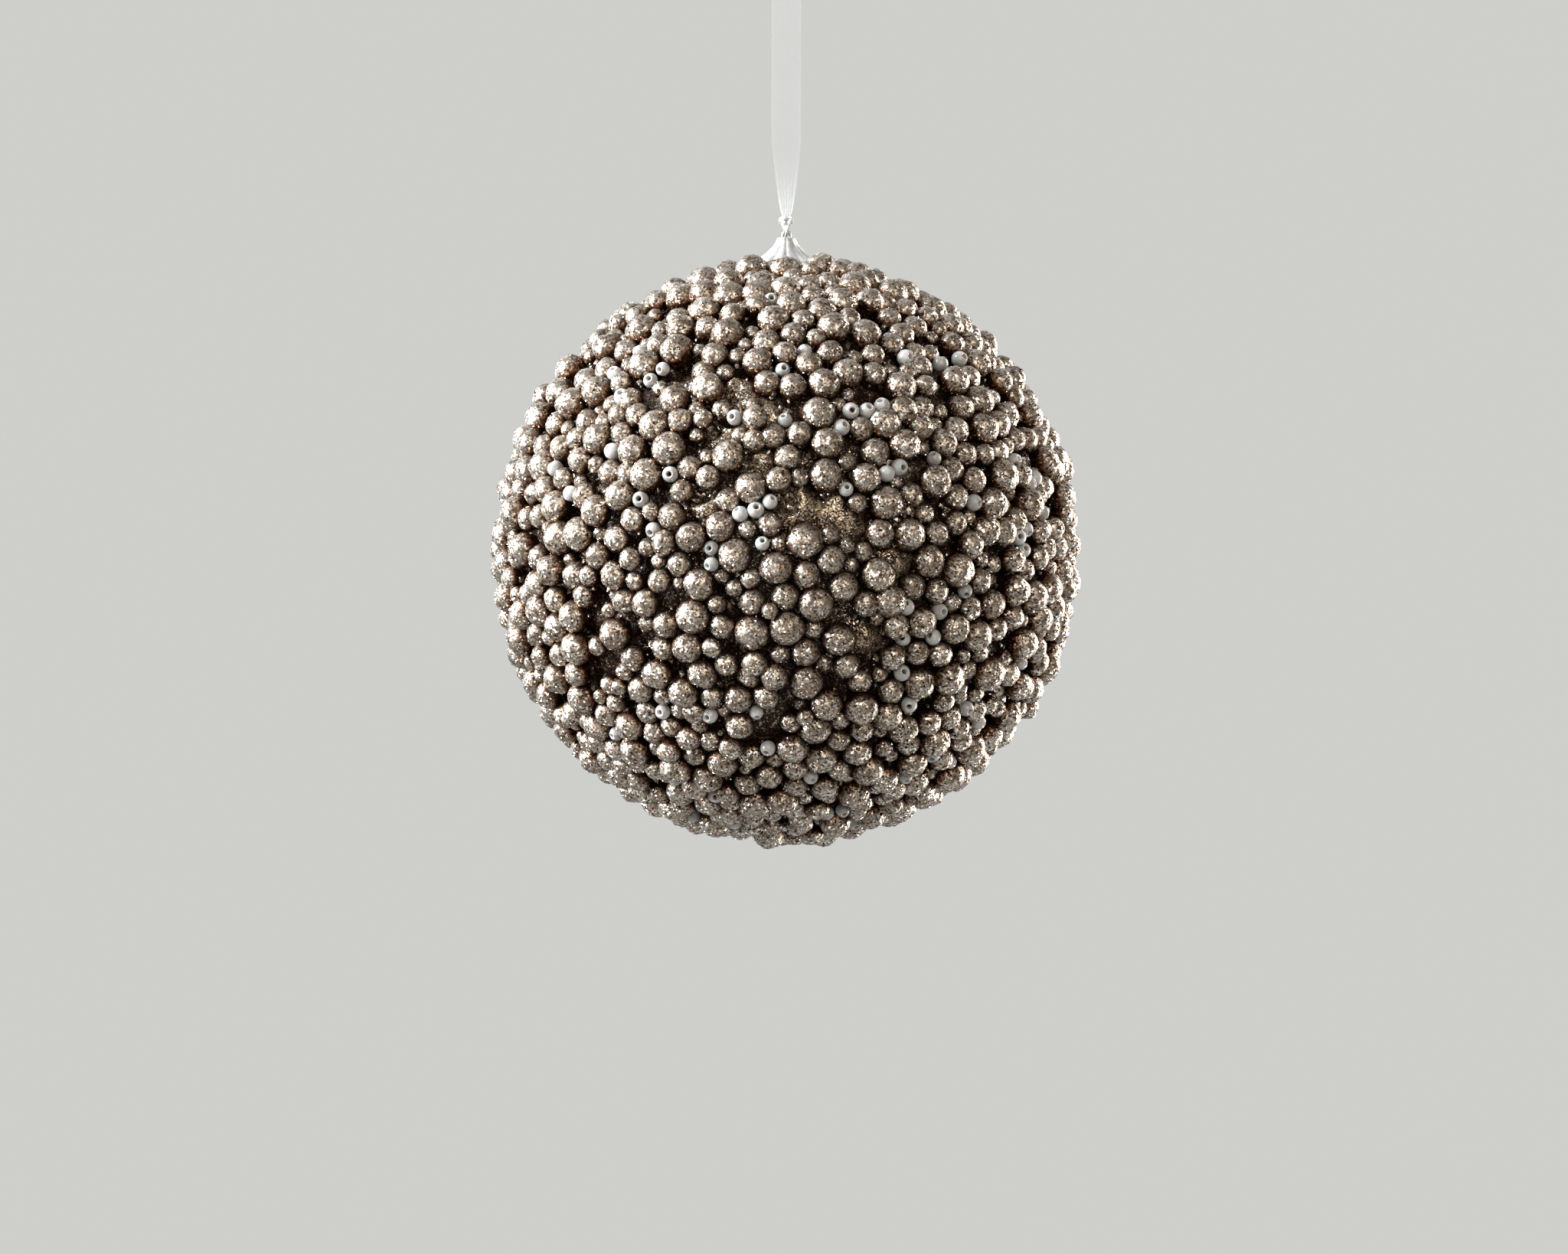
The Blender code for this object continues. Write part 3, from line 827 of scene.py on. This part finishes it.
# Patches with few beads, seen from the front: (across, up from the ball's centre, radius), in millimetres.
BARE_PATCHES = (
    (-7.7, 25.7, 2.6),
    (-2.0, 23.0, 2.4),
    (-10.7, 18.7, 2.2),
    (-4.4, 14.0, 2.4),
    (1.6, 6.7, 3.2),
    (6.7, 6.7, 2.4),
    (10.3, 3.7, 2.2),
    (18.7, -2.6, 2.0),
    (-13.3, 7.0, 2.4),
    (13.5, -15.0, 2.8),
)
# A patch fades out at this share of its radius, and is at its fullest one radius further in.
PATCH_EDGE = 1.6
# Deep gaps between beads, measured the same way.
HOLLOWS = ((13.0, 38.5, 2.0), (33.0, -29.0, 1.8), (-22.0, 24.0, 1.2), (17.0, 31.0, 1.2), (9.0, -11.0, 1.2))
# Settling: rounds, how often the pairs are found anew, and the share of the rounds that draws beads together.
SETTLE_ROUNDS = 260
PAIR_EVERY = 12
CLING_ROUNDS = 0.7
CLING = 0.06
CLING_REACH = 0.9 * MM
# How far two beads may sink into each other, and the share of them that sink deep.
SINK = 0.12 * MM
MERGED_SINK = 0.9 * MM
MERGED_SHARE = 0.07
SHAKE = 0.045


def settled(places, radii, reach, free, sink):
    """Pushes beads that overlap apart over the ball, and draws near ones together."""
    for turn in range(SETTLE_ROUNDS):
        if turn % PAIR_EVERY == 0:
            apart = np.linalg.norm(places[:, None] - places[None], axis=2)
            near = apart < radii[:, None] + radii[None] + 2 * CLING_REACH
            first, second = np.nonzero(np.triu(near, 1))
        offset = places[first] - places[second]
        distance = np.maximum(np.linalg.norm(offset, axis=1), 1e-9)
        gap = distance - (radii[first] + radii[second] - np.maximum(sink[first], sink[second]))
        cling = CLING if turn < SETTLE_ROUNDS * CLING_ROUNDS else 0.0
        pull = np.where(gap < 0, 0.5 * gap, np.where(gap < CLING_REACH, cling * gap, 0))
        move = -offset / distance[:, None] * pull[:, None]
        np.add.at(places, first, move * free[first, None])
        np.add.at(places, second, -move * free[second, None])
        places = np.where(free[:, None] > 0, normalised(places) * reach[:, None], places)
    return places


def scattered(count):
    """Unit vectors spread over the sphere, evenly and then shaken."""
    index = np.arange(count) + 0.5
    height = 1 - 2 * index / count
    width = np.sqrt(1 - height**2)
    turn = index * math.pi * (3 - math.sqrt(5))
    spread = np.stack([width * np.cos(turn), width * np.sin(turn), height], axis=1)
    return normalised(spread + draw.normal(scale=SHAKE, size=(count, 3)))


def node_names(start):
    """The CAD nodes whose names start like this, in order."""
    return sorted(name for name in frame["nodes"] if name.startswith(start))


def node_centre(name):
    """The middle of a CAD node, from the ball's centre."""
    low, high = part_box(name)
    return np.array((low + high) / 2) - CENTRE


def on_front(across, up, reach):
    """The place at this distance from the ball's centre that is seen here, in millimetres, from the front."""
    flat = np.array([across, up]) * MM
    flat *= min(1, RIM_SHARE * reach / np.linalg.norm(flat))
    return np.array([flat[0], -math.sqrt(reach**2 - flat @ flat), flat[1]])


def from_spot(directions, across, up):
    """How far from a spot seen from the front each direction comes out at the reach of the patches."""
    return np.linalg.norm(directions * PATCH_REACH - on_front(across, up, PATCH_REACH), axis=1)


COLLAR_NAMES = node_names("collar_bead_")
SEED_NAMES = node_names("seed_bead_")


def seed_spots():
    """Where seed beads lie: the CAD ones first, those seen from the front, then the back's small clusters."""
    spots = [node_centre(name) for name in SEED_NAMES]
    spots += [on_front(across, up, SEED_REACH) for across, up in FRONT_SEEDS]
    before = len(spots)
    while len(spots) < before + BACK_SEEDS:
        start = normalised(draw.normal(size=3))
        near_cap, in_front = start[2] > 0.93, start[1] < 0.1
        if near_cap or in_front:
            continue
        size = draw.choice(BACK_CLUSTERS)
        spots.append(start * SEED_REACH)
        for _ in range(size - 1):
            step = normalised(np.cross(start, draw.normal(size=3))) * 2 * SEED_RADIUS
            spots.append(normalised(spots[-1] + step) * SEED_REACH)
    return np.array(spots)


def random_beads():
    """Size names, radii, directions and distances from the centre, before settling, without the collar."""
    kinds, radii = [], []
    for kind, (share, smallest, largest, _, _) in BEAD_SIZES.items():
        number = round(share * BEAD_COUNT)
        kinds += [kind] * number
        radii.append(draw.uniform(smallest, largest, number))
    radii = np.concatenate(radii)
    order = draw.permutation(len(kinds))
    kinds, radii = [kinds[i] for i in order], radii[order]
    directions = scattered(len(kinds))
    lift = np.abs(draw.normal(scale=BEAD_LIFT, size=len(kinds)))
    lift += PROUD_LIFT * (draw.uniform(size=len(kinds)) < PROUD_SHARE)
    smaller = np.clip((FULL_RADIUS - radii) / MM, 0, 2)
    reach = np.minimum(BEAD_FOOT + radii + lift + SMALL_LIFT * smaller, HIGHEST_TIP - radii)
    return kinds, radii, directions, reach


def lay_out():
    """Size names, places and radii of the beads, the collar's first, and the places of the seed beads."""
    collar = np.array([node_centre(name) for name in COLLAR_NAMES])
    collar_radii = np.array([(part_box(name)[1].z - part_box(name)[0].z) / 2 for name in COLLAR_NAMES])
    seeds = seed_spots()
    kinds, radii, directions, reach = random_beads()
    # The cap, the bare patches and the deep gaps take up room, but nothing is built there.
    rooms = [np.array([0, 0, CAP_REACH])]
    room_radii = [COLLAR_CLEARANCE]
    for across, up, radius in BARE_PATCHES + HOLLOWS:
        rooms.append(on_front(across, up, PATCH_REACH))
        room_radii.append(radius * MM)
    fixed = np.concatenate([collar, seeds, rooms])
    places = np.concatenate([fixed, directions * reach[:, None]])
    all_radii = np.concatenate([collar_radii, np.full(len(seeds), SEED_RADIUS), room_radii, radii])
    all_reach = np.concatenate([np.linalg.norm(fixed, axis=1), reach])
    seed_slice = slice(len(collar), len(collar) + len(seeds))
    free = np.concatenate([np.zeros(len(fixed)), np.ones(len(radii))])
    free[seed_slice][len(SEED_NAMES) :] = SEED_FREEDOM
    merged = draw.uniform(size=len(all_radii)) < MERGED_SHARE
    sink = np.where(merged & (free == 1), MERGED_SINK, SINK)
    places = settled(places, all_radii, all_reach, free, sink)
    kinds = ["beads_large"] * len(collar) + kinds
    beads = np.concatenate([collar, places[len(fixed) :]])
    return kinds, beads, np.concatenate([collar_radii, radii]), places[seed_slice]


# A bead's shape: flat facets cut this far out, and a rough crust (finer on the large beads).
FACETS = 9
FACET_DEPTH = (0.90, 0.99)
FACET_EDGE = 0.2
FINE_CRUST = 0.024
COARSE_CRUST = 0.034
SQUASH = 0.05
# How much of a bead's back, sunk in the glue, is left off: all below this share of its radius.
BEAD_CUT = -0.55
# The set glue under and between the beads, from the ball's centre, and where it opens round the neck.
GROUND_BASE = 45.2 * MM
GROUND_LEVEL = 6
GROUND_OPENING = 5.7 * MM
NECK_MARGIN = 1.2 * MM
OVER_COAT = 0.1 * MM
# Lumps in it: (wave length, height), in millimetres, and how many waves of each.
GROUND_LUMPS = ((4.5, 0.5), (2.2, 0.4), (1.3, 0.3))
LUMP_WAVES = 7
LUMP_SHARE = 0.35
# In the bare patches its lumps are this share bigger, and it stands this much higher.
PATCH_ROUGHER = 1.5
PATCH_HIGHER = 1.5 * MM
# Loose flakes on every bead: half their length, their width as a share of it, and where they stand on it.
CHIPS_FOR_EACH = 36
CHIP_SIZE = (0.09 * MM, 0.18 * MM)
CHIP_NARROW = (0.6, 1.0)
CHIP_SEAT = 0.975
# Crumbs of crust in the glue, and their radii; they lie this far over the ground, and this near to a bead.
CRUMBS = 5200
CRUMB_SIZE = (0.22 * MM, 0.75 * MM)
CRUMB_HEIGHT = (0.1, 2.3)
CRUMB_GAP = (-0.15 * MM, 0.45 * MM)
BARE_ENOUGH = 0.3
CRUMB_PIECES = 2
GAP_BATCH = 2000


def patch_share(directions):
    """From 0 to 1, how far inside a bare patch each direction points."""
    share = np.zeros(len(directions))
    for across, up, radius in BARE_PATCHES:
        away = from_spot(directions, across, up) / (radius * MM)
        share = np.maximum(share, np.clip(PATCH_EDGE - away, 0, 1))
    return share


def nearest_gap(spots, places, radii):
    """How far each spot is from the nearest bead's surface; below zero inside a bead."""
    gaps = []
    for start in range(0, len(spots), GAP_BATCH):
        batch = spots[start : start + GAP_BATCH]
        apart = np.linalg.norm(batch[:, None] - places[None], axis=2) - radii
        gaps.append(apart.min(axis=1))
    return np.concatenate(gaps)


def crust_pieces(name, parts, count, material, smooth):
    """Deals these parts out to this many mesh objects, numbered from 1."""
    pieces = []
    for piece in range(count):
        vertices, faces, tones, heights = joined(parts[piece::count])
        attributes = (("tone", tones), ("height", heights))
        pieces.append(new_object(f"{name}_{piece + 1}", vertices, faces, material, smooth, attributes))
    return pieces


def make_crumbs(places, radii, material):
    """Broken bits of glitter crust caught in the glue between the beads, thickest in the bare patches."""
    unit, faces = icosphere(1)
    directions = normalised(draw.normal(size=(CRUMBS * 4, 3)))
    off_cap = directions[:, 2] < 0.985
    directions = directions[off_cap]
    height = draw.uniform(*CRUMB_HEIGHT, len(directions)) * MM
    spots = directions * (GROUND_BASE + height)[:, None]
    gap = nearest_gap(spots, places, radii)
    near = (gap > CRUMB_GAP[0]) & (gap < CRUMB_GAP[1])
    bare = patch_share(directions) > BARE_ENOUGH
    dark = np.zeros(len(directions), bool)
    for across, up, radius in HOLLOWS:
        dark |= from_spot(directions, across, up) < radius * MM
    spots = spots[(near | (bare & (gap > 0))) & ~dark][:CRUMBS]
    parts = []
    for spot in spots:
        lumps = 1 + draw.normal(scale=0.22, size=(len(unit), 1))
        stretch = draw.uniform(0.6, 1.25, 3)
        shape = (unit * lumps * stretch) @ random_turn().T * draw.uniform(*CRUMB_SIZE)
        # Each crumb gets a random height on the crust's ramp of painted shade and glue stain.
        parts.append((shape + spot + CENTRE, faces, draw.uniform(0.2, 1), draw.uniform(0.4, 1)))
    for crumbs in crust_pieces("glitter_crumbs", parts, CRUMB_PIECES, material, smooth=False):
        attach(crumbs, "ball")


def make_chips(places, radii, material):
    """Loose flakes that stand out of the crust."""
    count = len(radii) * CHIPS_FOR_EACH
    middle = np.repeat(places, CHIPS_FOR_EACH, axis=0)
    size = np.repeat(radii, CHIPS_FOR_EACH)
    outward = normalised(middle)
    direction = normalised(draw.normal(size=(count, 3)) + 0.9 * outward)
    facing = normalised(direction + draw.normal(scale=0.75, size=(count, 3)))
    side = normalised(np.cross(facing, draw.normal(size=(count, 3))))
    other = np.cross(facing, side)
    foot = middle + direction * (size * CHIP_SEAT)[:, None] + CENTRE
    half = draw.uniform(*CHIP_SIZE, size=(count, 1))
    narrow = draw.uniform(*CHIP_NARROW, size=(count, 1))
    long_way, short_way = half * side, half * narrow * other
    corners = [foot + long_way, foot + short_way, foot - long_way, foot - short_way]
    vertices = np.stack(corners, axis=1).reshape(-1, 3)
    faces = np.arange(count * 4).reshape(-1, 4)
    attributes = (("tone", np.repeat(draw.uniform(size=count), 4)),)
    chips = new_object("glitter_chips", vertices, faces, material, smooth=False, attributes=attributes)
    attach(chips, "ball")


def make_beads(kinds, places, radii, material):
    """Every glittered bead in its own lumpy, faceted shape, those of one size joined into a few pieces."""
    for kind, (_, _, _, level, pieces) in BEAD_SIZES.items():
        unit, faces = icosphere(level)
        roughness = FINE_CRUST if kind == "beads_large" else COARSE_CRUST
        parts = []
        for which, place, radius in zip(kinds, places, radii):
            if which != kind:
                continue
            lumps = 1 + draw.normal(scale=roughness, size=len(unit))
            for facet in normalised(draw.normal(size=(FACETS, 3))):
                facing = np.maximum(unit @ facet, FACET_EDGE)
                lumps = np.minimum(lumps, draw.uniform(*FACET_DEPTH) / facing)
            squash = 1 + draw.uniform(-SQUASH, SQUASH, 3)
            shape = (unit * lumps[:, None] * squash) @ random_turn().T * radius
            outward = normalised(place)
            keep = (shape[faces].mean(axis=1) @ outward) > BEAD_CUT * radius
            used, kept_faces = used_part(faces[keep])
            # How high each point stands on its bead, which sets the painted shade and glue stain at the bead's
            # foot.
            height = shape[used] @ outward / radius
            parts.append((shape[used] + place + CENTRE, kept_faces, draw.uniform(), height))
        for beads in crust_pieces(kind, parts, pieces, material, smooth=True):
            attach(beads, "ball")
            if beads.name == "beads_large_1":
                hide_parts("bead_cover", *COLLAR_NAMES)


def seed_profile():
    """(radius, height) once round a drilled bead's wall: its outside, its lip, its bore and the other lip."""
    outside = np.linspace(-SEED_END_ANGLE, SEED_END_ANGLE, 9)
    profile = [(SEED_RADIUS * math.cos(t), SEED_RADIUS * math.sin(t)) for t in outside]
    end = profile[-1]
    lip = (end[0] + SEED_HOLE) / 2
    profile += [(lip + 0.1 * MM, end[1] + 0.09 * MM), (lip - 0.1 * MM, end[1] + 0.05 * MM)]
    profile += [(SEED_HOLE, end[1] - 0.15 * MM), (SEED_HOLE, 0.0), (SEED_HOLE, 0.15 * MM - end[1])]
    profile += [(lip - 0.1 * MM, -end[1] - 0.05 * MM), (lip + 0.1 * MM, -end[1] - 0.09 * MM)]
    return profile


def make_seeds(seeds, material):
    """Drilled seed beads, each turned its own way."""
    profile = seed_profile()
    turns = [2 * math.pi * k / SEED_SIDES for k in range(SEED_SIDES)]
    unit = np.array([(r * math.cos(turn), r * math.sin(turn), h) for turn in turns for r, h in profile])
    grid = grid_faces(SEED_SIDES, len(profile), wrap_rows=True, wrap_columns=True)
    faces = np.array([(a, d, c, b) for a, b, c, d in grid])
    parts = []
    for place in seeds:
        axis = normalised(normalised(place) + draw.uniform(-SEED_TILT, SEED_TILT, 3))
        turn = np.array(Vector(axis).to_track_quat("Z", "Y").to_matrix())
        size = draw.uniform(*SEED_SIZE)
        parts.append(((unit * size) @ turn.T + place + CENTRE, faces, draw.uniform(), 0))
    vertices, all_faces, tones, _ = joined(parts)
    made = new_object("seed_beads", vertices, all_faces, material, attributes=(("tone", tones),))
    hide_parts(*SEED_NAMES)
    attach(made, "ball")


def make_ground(material):
    """The set glue under the beads: lumpy all over, and higher and rougher in the bare patches."""
    unit, faces = icosphere(GROUND_LEVEL)
    lump = np.zeros(len(unit))
    for length, height in GROUND_LUMPS:
        for _ in range(LUMP_WAVES):
            wave = normalised(draw.normal(size=3)) * 2 * math.pi * COAT_RADIUS / (length * MM)
            lump += height * LUMP_SHARE * MM * np.sin(unit @ wave + draw.uniform(0, 6.28))
    patch = patch_share(unit)
    reach = GROUND_BASE + lump * (1 + PATCH_ROUGHER * patch) + PATCH_HIGHER * patch
    from_axis = np.linalg.norm(unit[:, :2], axis=1) * COAT_RADIUS
    near_neck = (unit[:, 2] > 0) & (from_axis < GROUND_OPENING + NECK_MARGIN)
    reach = np.where(near_neck, COAT_RADIUS + OVER_COAT, reach)
    on_top = (unit[faces][:, :, 2] > 0).all(axis=1)
    in_opening = on_top & (from_axis[faces] < GROUND_OPENING).any(axis=1)
    used, kept_faces = used_part(faces[~in_opening])
    vertices = (unit * reach[:, None])[used] + CENTRE
    attributes = (("dust", patch[used]),)
    ground = new_object("glue_ground", vertices, kept_faces, material, attributes=attributes)
    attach(ground, "ball")


def make_floor(material):
    """A plain pale floor, well below the hanging ball."""
    bpy.ops.mesh.primitive_circle_add(
        vertices=96, radius=FLOOR_RADIUS, fill_type="NGON", location=(0, 0, FLOOR_Z)
    )
    floor = bpy.context.object
    floor.name = "floor"
    floor.data.materials.append(material)


def paint(name, material):
    """Gives a CAD node that stays in view its finished material."""
    node = frame["nodes"][name]
    node.data.materials.clear()
    node.data.materials.append(material)


bpy.context.scene.view_settings.view_transform = "Standard"
make_camera()
make_world()
make_lights()

organza = organza_material()
ribbon, ribbon_path, ribbon_length = make_ribbon(organza)
knot = make_knot(knot_material())
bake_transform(ribbon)

kinds, places, radii, seeds = lay_out()
crust = glitter_material()
make_beads(kinds, places, radii, crust)
make_crumbs(places, radii, crust)
make_chips(places, radii, chip_material())
make_seeds(seeds, seed_material())
make_ground(glue_material())
make_cap(silver_material())
make_clip(steel_material())
paint("glass_ball", glass_material())
paint("glue_coat", glue_material())
make_floor(floor_material())
